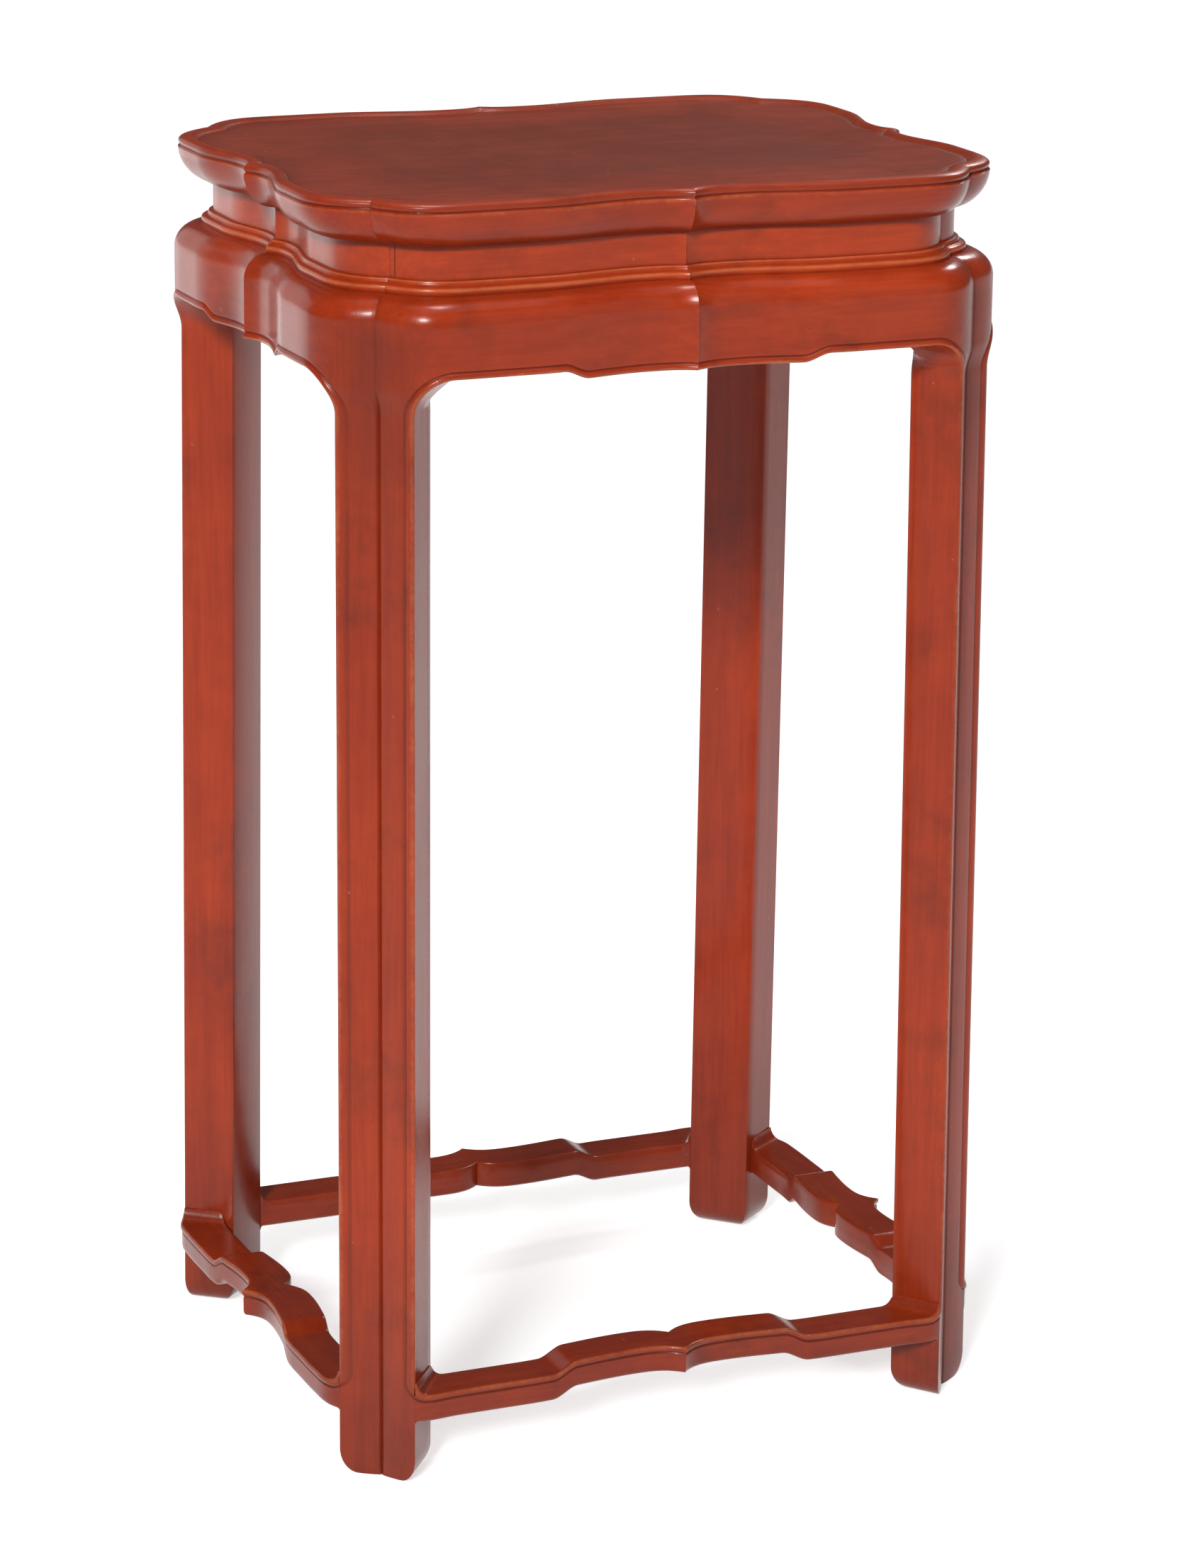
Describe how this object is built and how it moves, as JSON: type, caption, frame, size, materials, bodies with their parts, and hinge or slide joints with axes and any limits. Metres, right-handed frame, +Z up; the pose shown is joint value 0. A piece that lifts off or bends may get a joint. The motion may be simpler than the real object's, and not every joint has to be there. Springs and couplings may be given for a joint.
{
  "type": "pedestal table",
  "caption": "Tall rectangular lacquered wood stand with a lobed bracket outline, raised lip, recessed waist, shaped aprons, notched legs and humped base rails.",
  "frame": {"origin": "centre of the footprint, on the floor", "axes": "+Z up, X along the long sides, front at -Y"},
  "size_m": [0.4598, 0.3888, 0.8015],
  "materials": {
    "red_lacquer": "semi-gloss red-brown lacquer",
    "brown_lacquer": "worn brown lacquer",
    "bare_wood": "bare, planed"
  },
  "bodies": {
    "root": {"top_front": "red_lacquer", "top_right": "red_lacquer", "top_back": "red_lacquer", "top_left": "red_lacquer", "waist_front": "red_lacquer", "waist_right": "red_lacquer", "waist_back": "red_lacquer", "waist_left": "red_lacquer", "collar_front": "red_lacquer", "collar_right": "red_lacquer", "collar_back": "red_lacquer", "collar_left": "red_lacquer", "apron_front": "red_lacquer", "apron_right": "red_lacquer", "apron_back": "red_lacquer", "apron_left": "red_lacquer", "leg_front_left": "red_lacquer", "leg_front_right": "red_lacquer", "leg_back_right": "red_lacquer", "leg_back_left": "red_lacquer", "rail_front": "red_lacquer", "rail_right": "red_lacquer", "rail_back": "red_lacquer", "rail_left": "red_lacquer", "top_panel": "brown_lacquer", "batten_left": "bare_wood", "batten_right": "bare_wood"}
  },
  "joints": []
}
